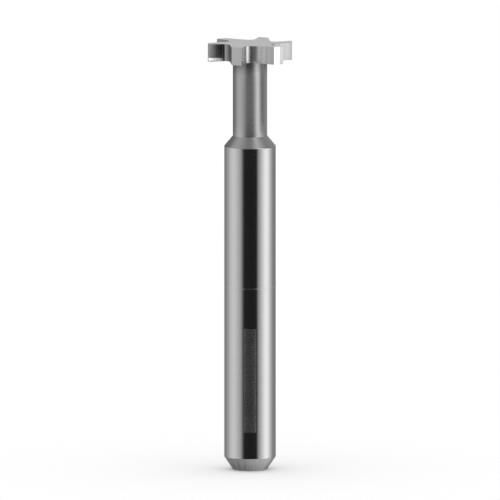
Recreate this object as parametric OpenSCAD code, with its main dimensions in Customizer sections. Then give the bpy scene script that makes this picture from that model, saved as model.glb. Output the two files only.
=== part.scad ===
// T-slot cutter, ground from one rod: a plain shank, a slim neck and a flat toothed head.
// The axis is Z. The origin is the centre of the shank's end face, and the head is at the top.
// Seen from the head, the cutter turns counter-clockwise, so it is a right-hand cutter.
// Lengths are in millimetres and angles in degrees.

/* [Shank] */
// Length over all, from the shank's end face to the top of the head
overall_l = 50; // [46:1:80]
// Diameter of the shank
shank_d = 6; // [5.6:0.1:8]
// Depth of the chamfer at the shank's end, measured along the radius
end_chamfer_r = 1; // [0.2:0.1:1.5]
// Length of that chamfer, measured along the axis
end_chamfer_l = 1.5; // [0.2:0.1:3]

/* [Neck] */
// Diameter of the neck
neck_d = 4; // [3:0.1:4.2]
// Length of the neck, from the shoulder to the head
neck_l = 8.8; // [5:0.1:14]
// Length of the conical shoulder that joins the neck to the shank
shoulder_l = 1.2; // [0.4:0.1:4]
// Radius of the fillet where the neck meets the head
neck_fillet_r = 0.2; // [0.1:0.05:0.25]

/* [Head] */
// Diameter over the cutting edges
head_d = 10.2; // [9.8:0.1:11]
// Width of the head at the cutting edges
head_w = 2.1; // [1.2:0.1:4]
// Side clearance: how much both sides slope in from the cutting edges to the hub
dish_a = 1.5; // [0.5:0.25:3]
// Diameter of the flat hub in the middle of both sides
hub_d = 4.8; // [4.8:0.1:5.2]

/* [Teeth] */
// Number of teeth
teeth = 6; // [6:1:6]
// Place of the first cutting edge, as an angle from +X
edge_a = 19.2; // [16:0.1:29]
// Width of the primary land behind each cutting edge
land_1 = 0.54; // [0.4:0.02:0.6]
// Clearance angle of the primary land
clear_1 = 12; // [8:0.5:14]
// Width of the secondary land behind the primary one
land_2 = 0.75; // [0.6:0.05:0.8]
// Clearance angle of the secondary land
clear_2 = 17.5; // [15:0.5:20]
// Angle between the tooth's back and the radius through its heel
back_a = 30.5; // [28:0.5:34]
// Rake angle at the cutting edge
rake_a = 4; // [0:0.5:8]
// Radius of the hollow-ground rake face
rake_r = 8; // [6:0.5:20]
// Radius at the root of each gullet
root_r = 0.75; // [0.6:0.05:0.9]

/* [Hidden] */
$fn = 96;

function polar(r, a) = [r * cos(a), r * sin(a)];

shank_r = shank_d / 2;
neck_r = neck_d / 2;
head_r = head_d / 2;
hub_r = hub_d / 2;
pitch_a = 360 / teeth;

// Heights along the axis
head_top = overall_l;
head_bottom = overall_l - head_w;
neck_bottom = head_bottom - neck_l;
shank_top = neck_bottom - shoulder_l;
// How far the hub lies below the cutting edges on each side
dish_h = (head_r - hub_r) * tan(dish_a);
hub_bottom = head_bottom + dish_h;
hub_top = head_top - dish_h;
// The turned blank is a little larger than the circle of the cutting edges
blank_r = head_r + 0.4;
blank_h = (blank_r - head_r) * tan(dish_a);

// One tooth, seen from the head: cutting corner, end of the primary land, heel
edge = polar(head_r, edge_a);
land_mid = edge + land_1 * polar(1, edge_a - clear_1 - 90);
heel = land_mid + land_2 * polar(1, edge_a - clear_2 - 90);
// Both lands run a little past the tooth, and the gullets trim them
past = 0.25;
// The root circle cuts this much past the surfaces that it touches, so that they cross cleanly
root_over = 0.001;
edge_past = edge + past * polar(1, edge_a - clear_1 + 90);
heel_past = heel + past * polar(1, edge_a - clear_2 - 90);

// The tooth's back: its direction outwards, and the direction into the gullet behind it
heel_a = atan2(heel[1], heel[0]);
back = polar(1, heel_a + back_a);
into_gullet = [back[1], -back[0]];
// The rake face of the tooth that follows is an arc, which leaves its cutting corner at the rake angle
next_a = edge_a - pitch_a;
next_edge = polar(head_r, next_a);
rake_c = next_edge + rake_r * polar(1, next_a + 90 + rake_a);
// The root circle touches the tooth's back and, from inside, the rake arc
root_0 = heel + root_r * into_gullet;
from_rake = root_0 - rake_c;
half_b = from_rake * back;
root_t = -half_b - sqrt(half_b * half_b - from_rake * from_rake + pow(rake_r - root_r, 2));
root_c = root_0 + root_t * back;
to_rake = (root_c - rake_c) / norm(root_c - rake_c);

// Section of one gullet: hollow rake face, round root, straight tooth back
module gullet_section() {
  translate(root_c) circle(r = root_r + root_over);
  intersection() {
    translate(rake_c) circle(r = rake_r, $fn = 360);
    polygon([
      root_c,
      rake_c + (rake_r + 0.6) * to_rake,
      next_edge + polar(1.6, next_a) + polar(0.6, next_a - 90),
      heel + 3 * back,
      root_c - root_r * into_gullet
    ]);
  }
}

// Outline of the head: lands on the teeth, gullets between them
module head_section() {
  difference() {
    polygon([
      for (k = [0 : teeth - 1])
        let (a = k * pitch_a, turn = [[cos(a), -sin(a)], [sin(a), cos(a)]])
          each [turn * heel_past, turn * land_mid, turn * edge_past]
    ]);
    for (k = [0 : teeth - 1]) rotate(k * pitch_a) gullet_section();
  }
}

// Half section of the turned blank, from the shank's end to the dished head
module blank_section() {
  polygon([
    [0, 0],
    [shank_r - end_chamfer_r, 0],
    [shank_r, end_chamfer_l],
    [shank_r, shank_top],
    [neck_r, neck_bottom],
    [neck_r, hub_bottom],
    [hub_r, hub_bottom],
    [blank_r, head_bottom - blank_h],
    [blank_r, head_top + blank_h],
    [hub_r, hub_top],
    [0, hub_top]
  ]);
  difference() {
    translate([neck_r - 0.1, hub_bottom - neck_fillet_r])
      square([neck_fillet_r + 0.1, neck_fillet_r + 0.1]);
    translate([neck_r + neck_fillet_r, hub_bottom - neck_fillet_r]) circle(r = neck_fillet_r);
  }
}

module cutter() {
  color([0.62, 0.62, 0.63])
    difference() {
      rotate_extrude() blank_section();
      translate([0, 0, head_bottom - 1])
        linear_extrude(height = head_w + 2)
          difference() {
            circle(r = head_r + 2);
            head_section();
          }
    }
}

cutter();
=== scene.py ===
import math

import bpy
import bmesh
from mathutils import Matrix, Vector


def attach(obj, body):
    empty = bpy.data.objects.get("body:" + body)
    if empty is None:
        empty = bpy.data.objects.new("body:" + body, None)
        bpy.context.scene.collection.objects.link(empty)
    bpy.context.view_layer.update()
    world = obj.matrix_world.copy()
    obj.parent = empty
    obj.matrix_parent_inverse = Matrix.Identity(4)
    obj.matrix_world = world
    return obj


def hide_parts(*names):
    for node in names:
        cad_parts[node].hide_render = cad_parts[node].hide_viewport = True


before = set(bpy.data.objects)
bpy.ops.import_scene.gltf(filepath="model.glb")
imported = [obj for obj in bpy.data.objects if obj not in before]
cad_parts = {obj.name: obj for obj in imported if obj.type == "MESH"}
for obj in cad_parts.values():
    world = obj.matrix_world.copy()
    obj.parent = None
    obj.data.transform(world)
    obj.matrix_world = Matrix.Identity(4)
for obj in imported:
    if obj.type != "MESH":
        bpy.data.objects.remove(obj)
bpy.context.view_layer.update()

MM = 0.001

# ---------------------------------------------------------------- dimensions, in millimetres and degrees
OVERALL_L = 50.0
SHANK_R = 3.0
END_CHAMFER_R = 1.0
END_CHAMFER_L = 1.5
NECK_R = 2.0
NECK_L = 8.8
SHOULDER_L = 1.2
NECK_FILLET_R = 0.2
HEAD_R = 5.1
HEAD_W = 2.1
DISH_A = 1.5
HUB_R = 2.4
TEETH = 6
EDGE_A = 19.2
LAND_1, CLEAR_1 = 0.54, 12.0
LAND_2, CLEAR_2 = 0.75, 17.5
BACK_A = 30.5
RAKE_A = 4.0
RAKE_R = 8.0
ROOT_R = 0.75

HEAD_TOP = OVERALL_L
HEAD_BOTTOM = OVERALL_L - HEAD_W
NECK_BOTTOM = HEAD_BOTTOM - NECK_L
SHANK_TOP = NECK_BOTTOM - SHOULDER_L
SLOPE = math.tan(math.radians(DISH_A))

# Fine broken edges that catch the light
EDGE_B = 0.014       # along the edges of the teeth
RIM_B = 0.05         # where the shoulder and the end chamfer meet the shank
END_B = 0.04         # round the end face
HOLD = 0.02          # a ring this far from a rounded edge keeps the shading beside it flat


def polar(r, a):
    return Vector((r * math.cos(math.radians(a)), r * math.sin(math.radians(a))))


def turned(p, a):
    c, s = math.cos(math.radians(a)), math.sin(math.radians(a))
    return Vector((c * p.x - s * p.y, s * p.x + c * p.y))


def z_top(r):
    return HEAD_TOP - (HEAD_R - max(r, HUB_R)) * SLOPE


def z_bottom(r):
    return HEAD_BOTTOM + (HEAD_R - max(r, HUB_R)) * SLOPE


# ---------------------------------------------------------------- outline of the head, seen from above
def arc(centre, start, end, n):
    """Points from start towards end on an arc about centre, the short way round, without the end point."""
    r = (start - centre).length
    a0 = math.atan2(start.y - centre.y, start.x - centre.x)
    a1 = math.atan2(end.y - centre.y, end.x - centre.x)
    d = (a1 - a0 + math.pi) % (2 * math.pi) - math.pi
    return [centre + Vector((r * math.cos(a0 + d * i / n), r * math.sin(a0 + d * i / n))) for i in range(n)]


def line(start, end, n):
    return [start.lerp(end, i / n) for i in range(n)]


def tooth_pitch():
    """One tooth and the gullet behind it, clockwise from the cutting corner: points, and the face that starts at each."""
    corner = polar(HEAD_R, EDGE_A)
    mid = corner + LAND_1 * polar(1, EDGE_A - CLEAR_1 - 90)
    heel = mid + LAND_2 * polar(1, EDGE_A - CLEAR_2 - 90)
    back = polar(1, math.degrees(math.atan2(heel.y, heel.x)) + BACK_A)
    into = Vector((back.y, -back.x))
    nxt = turned(corner, -360 / TEETH)
    rake_c = nxt + RAKE_R * polar(1, EDGE_A - 360 / TEETH + 90 + RAKE_A)
    p0 = heel + ROOT_R * into
    w = p0 - rake_c
    b = w.dot(back)
    c = w.dot(w) - (RAKE_R - ROOT_R) ** 2
    root_c = p0 + (-b - math.sqrt(b * b - c)) * back
    root_rake = rake_c + (root_c - rake_c) * (RAKE_R / (RAKE_R - ROOT_R))
    root_back = root_c - ROOT_R * into
    pts, tags = [], []
    for part, tag in (
        (line(corner, mid, 10), "land_1"),
        (line(mid, heel, 14), "land_2"),
        (line(heel, root_back, 22), "back"),
        (arc(root_c, root_back, root_rake, 24), "root"),
        (arc(rake_c, root_rake, nxt, 18), "rake"),
    ):
        pts += part
        tags += [tag] * len(part)
    return pts, tags


pitch_pts, pitch_tags = tooth_pitch()
outline, tags, corners = [], [], set()
for k in range(TEETH):
    for i, (p, t) in enumerate(zip(pitch_pts, pitch_tags)):
        if i == 0 or t != pitch_tags[i - 1]:
            if t in ("land_1", "land_2", "back"):
                corners.add(len(outline))
        outline.append(turned(p, -k * 360 / TEETH))
        tags.append(t)
N = len(outline)

# The same outline moved inwards by the broken edge. Clockwise, so the material is on the right of each step.
inset = []
for i in range(N):
    a = (outline[i] - outline[i - 1]).normalized()
    b = (outline[(i + 1) % N] - outline[i]).normalized()
    na, nb = Vector((a.y, -a.x)), Vector((b.y, -b.x))
    m = (na + nb).normalized()
    inset.append(outline[i] + m * (EDGE_B / max(0.45, m.dot(na))))

# Where the outline's points meet the hub. The rake faces run almost straight towards the axis, so these angles
# are given at the ends of each face, counted from the cutting corner, and evenly spaced between them.
MEET = {"land_1": -27.0, "land_2": -30.0, "back": -35.0, "root": -43.5, "rake": -63.5}
starts = [i for i in range(len(pitch_tags)) if i == 0 or pitch_tags[i] != pitch_tags[i - 1]]
ends = starts[1:] + [len(pitch_tags)]
meet = [MEET[pitch_tags[i]] for i in starts]
meet.append(meet[0] - 360 / TEETH)
hub_a = []
for k in range(TEETH):
    for j, (i0, i1) in enumerate(zip(starts, ends)):
        for i in range(i0, i1):
            hub_a.append(math.radians(EDGE_A - k * 360 / TEETH + meet[j] + (meet[j + 1] - meet[j]) * (i - i0) / (i1 - i0)))
even = [hub_a[0] - 2 * math.pi * i / N for i in range(N)]


def ring(r, z, blend=1.0):
    """A round ring. Its points go from where they meet the hub (0) to even spacing (1)."""
    out = []
    for i in range(N):
        a = hub_a[i] * (1 - blend) + even[i] * blend
        out.append(Vector((r * math.cos(a), r * math.sin(a), z)))
    return out


def flat(points, z_of_r, t=0.0):
    """The outline's points, drawn towards the hub by t, on one of the dished sides."""
    out = []
    for p, a in zip(points, hub_a):
        q = p.lerp(Vector((HUB_R * math.cos(a), HUB_R * math.sin(a))), t)
        out.append(Vector((q.x, q.y, z_of_r(q.length))))
    return out


# ---------------------------------------------------------------- rings from the top of the head to the shank's end
rings, bands = [], []                      # bands[i] is the zone between ring i and ring i + 1


def put(points, zone):
    if rings:
        bands.append(zone)
    rings.append(points)


hub_top, hub_bottom = z_top(HUB_R), z_bottom(HUB_R)
put(ring(1.2, hub_top, 0.0), None)
put(ring(HUB_R - 0.12, hub_top, 0.0), "face")
put(ring(HUB_R, hub_top, 0.0), "face")
for t in (0.75, 0.5, 0.25):
    put(flat(inset, z_top, t), "face")
put(flat(inset, z_top), "face")
put([Vector((p.x, p.y, z_top(p.length) - EDGE_B)) for p in outline], "edge")
SIDE_ROWS = 6
for j in range(1, SIDE_ROWS + 1):
    f = j / SIDE_ROWS
    put([Vector((p.x, p.y, (z_top(p.length) - EDGE_B) * (1 - f) + (z_bottom(p.length) + EDGE_B) * f)) for p in outline], "side")
put(flat(inset, z_bottom), "edge")
for t in (0.25, 0.5, 0.75):
    put(flat(inset, z_bottom, t), "under")
put(ring(HUB_R, hub_bottom, 0.0), "under")
put(ring(NECK_R + NECK_FILLET_R + HOLD, hub_bottom, 0.0), "under")
put(ring(NECK_R + NECK_FILLET_R, hub_bottom, 0.0), "under")
for j in range(1, 9):
    a = math.radians(90 * j / 8)
    put(ring(NECK_R + NECK_FILLET_R * (1 - math.sin(a)), hub_bottom - NECK_FILLET_R * (1 - math.cos(a)), 0.0), "neck")
z0 = hub_bottom - NECK_FILLET_R
put(ring(NECK_R, z0 - HOLD, 0.0), "neck")
for j in range(1, 13):
    f = j / 12
    put(ring(NECK_R, z0 + (NECK_BOTTOM - z0) * f, min(1.0, f * 1.6)), "neck")
# conical shoulder, with a narrow rounded rim
cone = Vector((SHANK_R - NECK_R, SHANK_TOP - NECK_BOTTOM))
cone_u = cone.normalized()
for f in (0.25, 0.5, 0.75):
    put(ring(NECK_R + cone.x * f, NECK_BOTTOM + cone.y * f), "shoulder")
rim = Vector((SHANK_R, SHANK_TOP))
a_, b_ = rim - cone_u * RIM_B, rim + Vector((0, -RIM_B))
hold = a_ - cone_u * HOLD
put(ring(hold.x, hold.y), "shoulder")
for j in range(5):
    f = j / 4
    q = a_ * (1 - f) ** 2 + rim * (2 * f * (1 - f)) + b_ * f ** 2
    put(ring(q.x, q.y), "shoulder" if j == 0 else "rim")
# shank
low = END_CHAMFER_L + RIM_B
SHANK_ROWS = 30
put(ring(SHANK_R, b_.y - HOLD), "shank")
for j in range(1, SHANK_ROWS):
    put(ring(SHANK_R, b_.y + (low - b_.y) * j / SHANK_ROWS), "shank")
put(ring(SHANK_R, low + HOLD), "shank")
put(ring(SHANK_R, low), "shank")
# end chamfer and end face, with broken edges
rim = Vector((SHANK_R, END_CHAMFER_L))
foot = Vector((SHANK_R - END_CHAMFER_R, 0))
u = (foot - rim).normalized()
b_ = rim + u * RIM_B
a_ = Vector((SHANK_R, low))
for j in range(1, 5):
    f = j / 4
    q = a_ * (1 - f) ** 2 + rim * (2 * f * (1 - f)) + b_ * f ** 2
    put(ring(q.x, q.y), "rim")
end_a = foot - u * END_B
for q in [b_ + u * HOLD] + [b_.lerp(end_a, j / 8) for j in range(1, 8)] + [end_a - u * HOLD, end_a]:
    put(ring(q.x, q.y), "chamfer")
end_b = foot + Vector((-END_B, 0))
for j in range(1, 5):
    f = j / 4
    q = end_a * (1 - f) ** 2 + foot * (2 * f * (1 - f)) + end_b * f ** 2
    put(ring(q.x, q.y), "rim_end")
put(ring(end_b.x - HOLD, 0.0), "end")
put(ring(1.0, 0.0), "end")

# ---------------------------------------------------------------- the mesh
ZONES = ["shank", "neck", "shoulder", "land", "flute", "rake", "face", "chamfer", "end"]
ZONE_OF = {
    "shank": "shank", "rim": "shank", "neck": "neck", "shoulder": "shoulder", "face": "face", "under": "face",
    "chamfer": "chamfer", "rim_end": "chamfer", "end": "end",
}


def zone_of(band, tag):
    if band in ("side", "edge"):
        return {"land_1": "land", "land_2": "land", "rake": "rake"}.get(tag, "flute")
    return ZONE_OF[band]


bm = bmesh.new()
verts = [[bm.verts.new((p.x * MM, p.y * MM, p.z * MM)) for p in r] for r in rings]
for j, band in enumerate(bands):
    up, dn = verts[j], verts[j + 1]
    for i in range(N):
        k = (i + 1) % N
        f = bm.faces.new((up[i], up[k], dn[k], dn[i]))
        f.material_index = ZONES.index(zone_of(band, tags[i]))
        f.smooth = True
for loop, z, zone in ((verts[0], hub_top, "face"), (verts[-1], 0.0, "end")):
    c = bm.verts.new((0, 0, z * MM))
    for i in range(N):
        k = (i + 1) % N
        f = bm.faces.new((loop[i], loop[k], c) if z == 0.0 else (loop[k], loop[i], c))
        f.material_index = ZONES.index(zone)
        f.smooth = True
bm.normal_update()
bmesh.ops.recalc_face_normals(bm, faces=bm.faces)
side_rings = [j for j, b in enumerate(bands) if b == "side"]
crease = set()
for j in side_rings:
    for i in corners:
        crease.add(frozenset((verts[j][i], verts[j + 1][i])))
for e in bm.edges:
    if len(e.link_faces) == 2 and e.calc_face_angle(0.0) > math.radians(14):
        e.smooth = False
    if frozenset(e.verts) in crease:
        e.smooth = False
mesh = bpy.data.meshes.new("cutter_body")
bm.to_mesh(mesh)
bm.free()
body = bpy.data.objects.new("cutter_body", mesh)
bpy.context.scene.collection.objects.link(body)


# ---------------------------------------------------------------- materials
class Tree:
    """Short names for adding nodes to a tree."""

    def __init__(self, tree):
        self.t = tree

    def add(self, kind, **props):
        n = self.t.nodes.new(kind)
        for k, v in props.items():
            setattr(n, k, v)
        return n

    def put(self, socket, value):
        if isinstance(value, bpy.types.NodeSocket):
            self.t.links.new(value, socket)
        else:
            socket.default_value = value

    def math(self, op, a, b=None, c=None, clamp=False):
        n = self.add("ShaderNodeMath", operation=op, use_clamp=clamp)
        for s, v in zip(n.inputs, (a, b, c)):
            if v is not None:
                self.put(s, v)
        return n.outputs[0]

    def step(self, v, lo, hi, to_lo=0.0, to_hi=1.0, kind="SMOOTHSTEP"):
        n = self.add("ShaderNodeMapRange", interpolation_type=kind, clamp=True)
        for s, x in zip(n.inputs, (v, lo, hi, to_lo, to_hi)):
            self.put(s, x)
        return n.outputs[0]

    def bell(self, v, centre, width):
        d = self.math("DIVIDE", self.math("SUBTRACT", v, centre), width)
        return self.math("EXPONENT", self.math("MULTIPLY", self.math("MULTIPLY", d, d), -1.0))

    def noise(self, coord, scale, detail=3.0, rough=0.5, distort=0.0):
        n = self.add("ShaderNodeTexNoise", noise_dimensions="3D")
        self.put(n.inputs["Vector"], coord)
        n.inputs["Scale"].default_value = scale
        n.inputs["Detail"].default_value = detail
        n.inputs["Roughness"].default_value = rough
        n.inputs["Distortion"].default_value = distort
        return n.outputs[0]

    def stretched(self, coord, x, y, z):
        n = self.add("ShaderNodeMapping")
        self.put(n.inputs["Vector"], coord)
        n.inputs["Scale"].default_value = (x, y, z)
        return n.outputs[0]

    def bump(self, height, strength, distance, normal=None):
        n = self.add("ShaderNodeBump")
        n.inputs["Strength"].default_value = strength
        n.inputs["Distance"].default_value = distance
        self.put(n.inputs["Height"], height)
        if normal is not None:
            self.put(n.inputs["Normal"], normal)
        return n.outputs[0]

    def tint(self, fac, dark, light):
        n = self.add("ShaderNodeMix", data_type="RGBA", blend_type="MIX", clamp_factor=False)
        self.put(n.inputs[0], fac)
        n.inputs[6].default_value = (*dark, 1.0)
        n.inputs[7].default_value = (*light, 1.0)
        return n.outputs[2]


def metal(name):
    """A metal with its coordinates in millimetres."""
    m = bpy.data.materials.new(name)
    m.use_nodes = True
    t = Tree(m.node_tree)
    shader = next(n for n in m.node_tree.nodes if n.type == "BSDF_PRINCIPLED")
    shader.inputs["Metallic"].default_value = 1.0
    mm = t.add("ShaderNodeVectorMath", operation="SCALE")
    t.put(mm.inputs[0], t.add("ShaderNodeTexCoord").outputs["Object"])
    mm.inputs["Scale"].default_value = 1000.0
    xyz = t.add("ShaderNodeSeparateXYZ")
    t.put(xyz.inputs[0], mm.outputs[0])
    return m, t, shader, mm.outputs[0], xyz.outputs


DARK = (0.545, 0.541, 0.545)
LIGHT = (0.615, 0.612, 0.614)


def round_brush(t, shader, amount, turn):
    """Grinding round the axis: the gloss is drawn out across the marks."""
    tangent = t.add("ShaderNodeTangent", direction_type="RADIAL", axis="Z")
    t.put(shader.inputs["Tangent"], tangent.outputs[0])
    shader.inputs["Anisotropic"].default_value = amount
    shader.inputs["Anisotropic Rotation"].default_value = turn


def make_shank():
    m, t, s, p, (x, y, z) = metal("polished_shank")
    fine = t.noise(t.stretched(p, 0.25, 0.25, 14.0), 2.0, 4.0, 0.6)
    broad = t.noise(t.stretched(p, 0.5, 0.5, 0.35), 1.0, 2.0)
    # a faint line round the shank
    ring_line = t.bell(z, 21.45, 0.07)
    # plain matt field on the front of the shank
    edge = 0.03
    field = t.math("MULTIPLY", t.step(t.math("ABSOLUTE", x), 0.72, 0.72 - edge), t.step(y, -0.5, -0.6))
    field = t.math("MULTIPLY", field, t.step(t.math("ABSOLUTE", t.math("SUBTRACT", z, 10.7)), 6.1, 6.1 - edge))
    hatch = t.noise(t.stretched(p, 6.0, 6.0, 9.0), 1.0, 3.0, 0.6)
    rough = t.math("ADD", t.step(fine, 0.3, 0.7, 0.085, 0.115, "LINEAR"), t.step(broad, 0.35, 0.65, -0.008, 0.008, "LINEAR"))
    rough = t.math("ADD", rough, t.math("MULTIPLY", ring_line, 0.22))
    rough = t.math("ADD", rough, t.math("MULTIPLY", field, t.step(hatch, 0.3, 0.7, 0.14, 0.24, "LINEAR")))
    t.put(s.inputs["Roughness"], rough)
    tone = t.math("ADD", fine, t.math("MULTIPLY", ring_line, 0.5))
    t.put(s.inputs["Base Color"], t.tint(t.step(tone, 0.2, 0.8, 0.0, 1.0, "LINEAR"), DARK, LIGHT))
    t.put(s.inputs["Normal"], t.bump(fine, 0.05, 0.000002))
    return m


def make_neck(name, lines=12.0):
    m, t, s, p, (x, y, z) = metal(name)
    fine = t.noise(t.stretched(p, 0.4, 0.4, lines), 1.0, 4.0, 0.65)
    grain = t.noise(p, 9.0, 3.0, 0.6)
    both = t.math("ADD", t.math("MULTIPLY", fine, 0.7), t.math("MULTIPLY", grain, 0.3))
    t.put(s.inputs["Roughness"], t.step(both, 0.3, 0.7, 0.22, 0.30, "LINEAR"))
    tone = t.tint(t.step(both, 0.25, 0.75, 0.0, 1.0, "LINEAR"), DARK, LIGHT)
    # painted shade: the neck's colour darkens towards the head, standing in for the shade under the head's overhang
    under_head_shade = t.add("ShaderNodeMix", data_type="RGBA", blend_type="MULTIPLY")
    t.put(under_head_shade.inputs[0], t.step(z, 46.1, 47.9, 0.0, 0.55))
    t.put(under_head_shade.inputs[6], tone)
    under_head_shade.inputs[7].default_value = (0.0, 0.0, 0.0, 1.0)
    t.put(s.inputs["Base Color"], under_head_shade.outputs[2])
    t.put(s.inputs["Normal"], t.bump(both, 0.10, 0.000006))
    round_brush(t, s, 0.5, 0.25)
    return m


def make_land():
    m, t, s, p, (x, y, z) = metal("ground_lands")
    grain = t.noise(p, 5.0, 4.0, 0.65)
    lines = t.noise(t.stretched(p, 1.2, 1.2, 10.0), 1.0, 3.0, 0.6)
    both = t.math("ADD", t.math("MULTIPLY", grain, 0.5), t.math("MULTIPLY", lines, 0.5))
    t.put(s.inputs["Roughness"], t.step(both, 0.3, 0.7, 0.10, 0.16, "LINEAR"))
    t.put(s.inputs["Base Color"], t.tint(t.step(both, 0.25, 0.75, 0.0, 1.0, "LINEAR"), DARK, LIGHT))
    t.put(s.inputs["Normal"], t.bump(both, 0.08, 0.00001))
    return m


def make_flute(name, honed_with_painted_highlight=False):
    m, t, s, p, (x, y, z) = metal(name)
    lines = t.noise(t.stretched(p, 5.0, 5.0, 0.12), 1.0, 3.0, 0.6)
    grain = t.noise(p, 6.0, 3.0, 0.6)
    both = t.math("ADD", t.math("MULTIPLY", lines, 0.8), t.math("MULTIPLY", grain, 0.2))
    # the root is rougher; the colour darkens deep in the gullet as painted shade, and the rake faces, with a honed
    # finish, are painted lighter towards the cutting edge as a painted highlight
    rad = t.math("SQRT", t.math("ADD", t.math("MULTIPLY", x, x), t.math("MULTIPLY", y, y)))
    fine, coarse = (0.07, 0.10) if honed_with_painted_highlight else (0.075, 0.11)
    t.put(s.inputs["Roughness"], t.math("ADD", t.step(both, 0.3, 0.7, fine, coarse, "LINEAR"), t.step(rad, 3.06, 2.94, 0.0, 0.28)))
    # painted shade: the colour darkens inside a radius of 3.75 mm, deep in the gullets
    tone = t.math("ADD", t.step(both, 0.36, 0.64, 0.32, 1.0, "LINEAR"), t.step(rad, 3.75, 3.2, 0.0, -0.42))
    # painted highlight: the rake faces get lighter towards the cutting edge
    if honed_with_painted_highlight:
        tone = t.math("ADD", tone, t.step(rad, 4.4, 5.1, 0.0, 0.45, "LINEAR"))
    t.put(s.inputs["Base Color"], t.tint(tone, (0.33, 0.328, 0.33), (0.625, 0.622, 0.624)))
    t.put(s.inputs["Normal"], t.bump(both, 0.10, 0.00001))
    return m


def make_face():
    m, t, s, p, (x, y, z) = metal("ground_sides")
    lines = t.noise(t.stretched(p, 0.7, 8.0, 0.7), 1.0, 3.0, 0.6)
    grain = t.noise(p, 6.0, 3.0, 0.6)
    both = t.math("ADD", t.math("MULTIPLY", lines, 0.7), t.math("MULTIPLY", grain, 0.3))
    t.put(s.inputs["Roughness"], t.step(both, 0.3, 0.7, 0.22, 0.30, "LINEAR"))
    t.put(s.inputs["Base Color"], t.tint(t.step(both, 0.25, 0.75, 0.0, 1.0, "LINEAR"), DARK, LIGHT))
    t.put(s.inputs["Normal"], t.bump(both, 0.05, 0.000006))
    return m


def make_chamfer():
    m, t, s, p, (x, y, z) = metal("streaked_chamfer_painted_shade")
    # streaks run down the cone: the pattern depends on the direction from the axis, and hardly on the height
    flat_p = t.add("ShaderNodeVectorMath", operation="MULTIPLY")
    t.put(flat_p.inputs[0], p)
    flat_p.inputs[1].default_value = (1.0, 1.0, 0.0)
    out = t.add("ShaderNodeVectorMath", operation="NORMALIZE")
    t.put(out.inputs[0], flat_p.outputs[0])
    lift = t.add("ShaderNodeCombineXYZ")
    t.put(lift.inputs[2], t.math("MULTIPLY", z, 0.06))
    joined = t.add("ShaderNodeVectorMath", operation="ADD")
    t.put(joined.inputs[0], out.outputs[0])
    t.put(joined.inputs[1], lift.outputs[0])
    streak = t.noise(joined.outputs[0], 9.0, 4.0, 0.62, 0.4)
    t.put(s.inputs["Roughness"], t.step(streak, 0.3, 0.7, 0.30, 0.42, "LINEAR"))
    # painted shade: the colour darkens towards the bottom of the chamfer, next to the floor
    tone = t.math("ADD", t.step(streak, 0.3, 0.7, 0.0, 1.0, "LINEAR"), t.step(z, 0.0, 1.3, -0.80, 0.12))
    t.put(s.inputs["Base Color"], t.tint(tone, (0.43, 0.428, 0.43), (0.64, 0.637, 0.638)))
    t.put(s.inputs["Normal"], t.bump(streak, 0.35, 0.00002))
    return m


def make_end():
    m, t, s, p, (x, y, z) = metal("ground_end")
    rad = t.math("SQRT", t.math("ADD", t.math("MULTIPLY", x, x), t.math("MULTIPLY", y, y)))
    turn = t.add("ShaderNodeCombineXYZ")
    t.put(turn.inputs[0], t.math("MULTIPLY", rad, 14.0))
    t.put(turn.inputs[1], t.math("MULTIPLY", x, 0.5))
    lines = t.noise(turn.outputs[0], 1.0, 3.0, 0.6)
    t.put(s.inputs["Roughness"], t.step(lines, 0.3, 0.7, 0.26, 0.36, "LINEAR"))
    t.put(s.inputs["Base Color"], t.tint(t.step(lines, 0.25, 0.75, 0.0, 1.0, "LINEAR"), DARK, LIGHT))
    t.put(s.inputs["Normal"], t.bump(lines, 0.06, 0.000008))
    return m


made = {
    "shank": make_shank(), "neck": make_neck("satin_neck_painted_shade"), "shoulder": make_neck("satin_shoulder", 9.0),
    "land": make_land(), "flute": make_flute("ground_flutes_painted_shade"), "rake": make_flute("honed_rakes_painted_shade_and_highlight", True), "face": make_face(), "chamfer": make_chamfer(), "end": make_end(),
}
for zone in ZONES:
    mesh.materials.append(made[zone])

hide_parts("cutter")
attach(body, "root")

# ---------------------------------------------------------------- floor
fm = bmesh.new()
S, CELLS = 2.5, 10
grid = [[fm.verts.new((-S + 2 * S * i / CELLS, -S + 2 * S * j / CELLS, 0.0)) for i in range(CELLS + 1)] for j in range(CELLS + 1)]
for j in range(CELLS):
    for i in range(CELLS):
        fm.faces.new((grid[j][i], grid[j][i + 1], grid[j + 1][i + 1], grid[j + 1][i]))
floor_mesh = bpy.data.meshes.new("floor")
fm.to_mesh(floor_mesh)
fm.free()
floor = bpy.data.objects.new("floor", floor_mesh)
bpy.context.scene.collection.objects.link(floor)
floor.location.z = -0.00001
paper = bpy.data.materials.new("pale_floor")
paper.use_nodes = True
pt = Tree(paper.node_tree)
ps = next(n for n in paper.node_tree.nodes if n.type == "BSDF_PRINCIPLED")
ps.inputs["Base Color"].default_value = (0.95, 0.95, 0.95, 1.0)
ps.inputs["Roughness"].default_value = 0.9
ps.inputs["Specular IOR Level"].default_value = 0.0
floor_mesh.materials.append(paper)
floor.visible_glossy = False

# ---------------------------------------------------------------- studio light
world = bpy.data.worlds.new("studio")
bpy.context.scene.world = world
world.use_nodes = True
world.cycles.sampling_method = "NONE"
wt = Tree(world.node_tree)
world.node_tree.nodes.clear()
direction = wt.add("ShaderNodeSeparateXYZ")
wt.put(direction.inputs[0], wt.add("ShaderNodeTexCoord").outputs["Generated"])
dx, dy, dz = direction.outputs
az = wt.math("MULTIPLY", wt.math("ARCTAN2", dx, wt.math("MULTIPLY", dy, -1.0)), 180 / math.pi)      # 0 is the front, + is the right
el = wt.math("MULTIPLY", wt.math("ARCSINE", dz), 180 / math.pi)
far = wt.math("ABSOLUTE", az)

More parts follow.
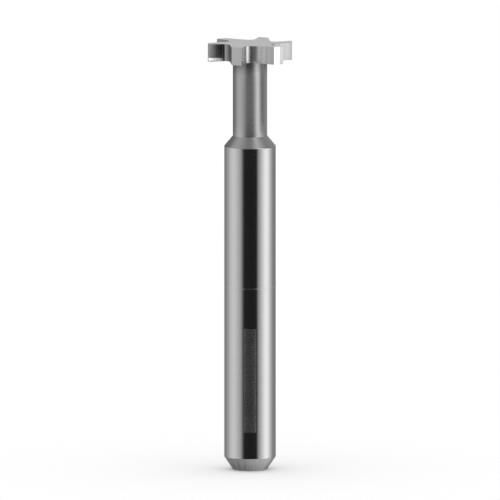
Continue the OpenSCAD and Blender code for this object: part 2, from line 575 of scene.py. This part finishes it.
# soft boxes on both sides, a key light above the front right, and a bright wall behind
left = wt.math("MULTIPLY", wt.math("MULTIPLY", wt.bell(az, -80.0, 37.5), wt.bell(el, 0.0, 55.0)), 0.66)
right = wt.math("MULTIPLY", wt.math("MULTIPLY", wt.bell(az, 78.0, 29.0), wt.bell(el, -10.0, 40.0)), 1.10)
key = wt.math("MULTIPLY", wt.math("MULTIPLY", wt.bell(az, 50.0, 22.0), wt.bell(el, 42.0, 20.0)), 1.45)
wall = wt.math("MULTIPLY", wt.math("MULTIPLY", wt.step(far, 150.0, 172.0), wt.step(el, 2.0, 14.0)), 0.40)
light = wt.math("ADD", wt.math("ADD", left, right), wt.math("ADD", wall, 0.29))
# a dark card in front
card = wt.math("MULTIPLY", wt.step(az, 41.5, 27.0), wt.step(az, -45.5, -24.0))
card = wt.math("MULTIPLY", card, wt.math("MULTIPLY", wt.step(el, 24.0, 8.0), wt.step(el, -40.0, -24.0)))
light = wt.math("MULTIPLY", light, wt.math("SUBTRACT", 1.0, wt.math("MULTIPLY", card, 0.93)))
light = wt.math("ADD", light, key)
# the bright table below, brighter on the right
table_light = wt.math("ADD", wt.math("MULTIPLY", dx, 0.34), 0.51)
low = wt.step(el, -22.0, -45.0)
light = wt.math("ADD", wt.math("MULTIPLY", light, wt.math("SUBTRACT", 1.0, low)), wt.math("MULTIPLY", table_light, low))

gloss = wt.add("ShaderNodeBackground")
gloss.inputs["Color"].default_value = (1.0, 0.992, 0.994, 1.0)
wt.put(gloss.inputs["Strength"], light)
plain = wt.add("ShaderNodeBackground")
plain.inputs["Color"].default_value = (1.0, 1.0, 1.0, 1.0)
plain.inputs["Strength"].default_value = 1.07
pick = wt.add("ShaderNodeMixShader")
wt.put(pick.inputs[0], wt.add("ShaderNodeLightPath").outputs["Is Glossy Ray"])
wt.put(pick.inputs[1], plain.outputs[0])
wt.put(pick.inputs[2], gloss.outputs[0])
out = wt.add("ShaderNodeOutputWorld")
wt.put(out.inputs["Surface"], pick.outputs[0])

# two rings of soft panels, which only reflections see: a near one for the neck, and a wide one for the head
STEPS, ROWS = 120, 8


def panel_ring(name, radius, z_lo, z_hi):
    rm = bmesh.new()
    loops = []
    for j in range(ROWS + 1):
        z = z_lo + (z_hi - z_lo) * j / ROWS
        loops.append([rm.verts.new((radius * math.cos(2 * math.pi * i / STEPS), radius * math.sin(2 * math.pi * i / STEPS), z)) for i in range(STEPS)])
    for j in range(ROWS):
        for i in range(STEPS):
            k = (i + 1) % STEPS
            rm.faces.new((loops[j][k], loops[j][i], loops[j + 1][i], loops[j + 1][k]))
    panel_mesh = bpy.data.meshes.new(name)
    rm.to_mesh(panel_mesh)
    rm.free()
    panel = bpy.data.objects.new(name, panel_mesh)
    bpy.context.scene.collection.objects.link(panel)
    panel.visible_camera = False
    panel.visible_diffuse = False
    panel.visible_transmission = False
    panel.visible_shadow = False
    panel_mesh.materials.append(glow)


glow = bpy.data.materials.new("panel_light")
glow.use_nodes = True
glow.cycles.emission_sampling = "NONE"
glow.node_tree.nodes.clear()
gt = Tree(glow.node_tree)
gxyz = gt.add("ShaderNodeSeparateXYZ")
gt.put(gxyz.inputs[0], gt.add("ShaderNodeTexCoord").outputs["Object"])
gx, gy, gz = gxyz.outputs
gaz = gt.math("MULTIPLY", gt.math("ARCTAN2", gx, gt.math("MULTIPLY", gy, -1.0)), 180 / math.pi)
gh = gt.math("MULTIPLY", gz, 1000.0)
gfar = gt.math("ABSOLUTE", gaz)
grad = gt.math("SQRT", gt.math("ADD", gt.math("MULTIPLY", gx, gx), gt.math("MULTIPLY", gy, gy)))
high = gt.math("MULTIPLY", gt.step(gh, 42.05, 43.1), gt.math("GREATER_THAN", grad, 0.03))      # what the head sees
low_left = gt.math("MULTIPLY", gt.bell(gaz, -70.2, 36.0), 0.36)
low_right = gt.math("MULTIPLY", gt.bell(gaz, 49.2, 16.6), gt.step(gh, 44.3, 46.2, 0.76, 0.36))
low_fill = gt.math("ADD", gt.step(gaz, -80.5, -115.0, 0.28, 0.18), gt.math("ADD", gt.math("MULTIPLY", gt.bell(gaz, 80.5, 15.3), gt.step(gh, 43.8, 46.2, -0.07, -0.15)), gt.step(gaz, 90.3, 119.6, 0.0, 0.08)))
low_fill = gt.math("ADD", low_fill, gt.math("ADD", gt.step(gaz, 140.0, 178.0, 0.0, -0.09), gt.step(gaz, -140.0, -178.0, 0.0, 0.09)))
low_sum = gt.math("ADD", gt.math("ADD", low_left, low_right), low_fill)
low_sum = gt.math("MULTIPLY", low_sum, gt.math("SUBTRACT", 1.0, gt.math("MULTIPLY", gt.math("MULTIPLY", gt.step(gaz, 26.6, 9.4), gt.step(gaz, -36.0, -19.0)), 0.36)))
top_left = gt.math("MULTIPLY", gt.bell(gaz, -48.0, 27.0), 0.34)
top_right = gt.math("ADD", gt.math("MULTIPLY", gt.bell(gaz, 48.0, 20.5), 2.95), gt.math("MULTIPLY", gt.bell(gaz, 97.0, 17.0), 0.8))
top_right = gt.math("MULTIPLY", top_right, gt.math("MULTIPLY", gt.step(gh, 46.0, 49.0, 1.0, 0.45), gt.math("MULTIPLY", gt.step(gh, 50.0, 56.0, 1.0, 0.3), gt.step(gh, 42.5, 43.2, 0.65, 1.0))))
top_fill = gt.step(gfar, 100.0, 125.0, 0.38, 0.33)
top_wall = gt.math("MULTIPLY", gt.math("MULTIPLY", gt.step(gfar, 150.0, 172.0), gt.step(gh, 46.0, 51.0)), 0.37)
top_sum = gt.math("ADD", gt.math("ADD", top_left, top_right), gt.math("ADD", top_fill, top_wall))
top_card = gt.math("MULTIPLY", gt.math("MULTIPLY", gt.step(gaz, 35.0, 2.0), gt.step(gaz, -32.0, -19.5)), gt.math("MULTIPLY", gt.math("MULTIPLY", gt.step(gh, 43.4, 44.9, 0.97, 0.92), gt.step(gh, 42.75, 43.15)), gt.step(gh, 48.5, 54.0, 1.0, 0.3)))
top_sill = gt.math("MULTIPLY", gt.math("MULTIPLY", gt.bell(gaz, 18.0, 12.0), gt.step(gh, 43.2, 42.85)), 0.55)
top_sum = gt.math("ADD", gt.math("MULTIPLY", top_sum, gt.math("SUBTRACT", 1.0, top_card)), top_sill)
g_sum = gt.math("ADD", gt.math("MULTIPLY", low_sum, gt.math("SUBTRACT", 1.0, high)), gt.math("MULTIPLY", top_sum, high))
emit = gt.add("ShaderNodeEmission")
emit.inputs["Color"].default_value = (1.0, 0.992, 0.994, 1.0)
gt.put(emit.inputs["Strength"], g_sum)
g_out = gt.add("ShaderNodeOutputMaterial")
gt.put(g_out.inputs["Surface"], emit.outputs[0])
panel_ring("panel_ring_near", 0.012, 0.0376, 0.04635)
panel_ring("panel_ring_wide", 0.040, 0.0362, 0.070)

# ---------------------------------------------------------------- camera
E = math.radians(7.4)
aim = Vector((0.0, 0.0, 0.02566))
back = Vector((0.0, -math.cos(E), math.sin(E)))
cam_data = bpy.data.cameras.new("camera")
cam_data.type = "ORTHO"
cam_data.ortho_scale = 0.05814
cam_data.clip_start = 0.001
cam_data.clip_end = 20.0
cam = bpy.data.objects.new("camera", cam_data)
bpy.context.scene.collection.objects.link(cam)
cam.location = aim + back * 0.4
cam.rotation_mode = "QUATERNION"
cam.rotation_quaternion = (-back).to_track_quat("-Z", "Y")
bpy.context.scene.camera = cam

view = bpy.context.scene.view_settings
view.view_transform = "Standard"
view.look = "None"
view.exposure = 0.0
view.gamma = 1.0
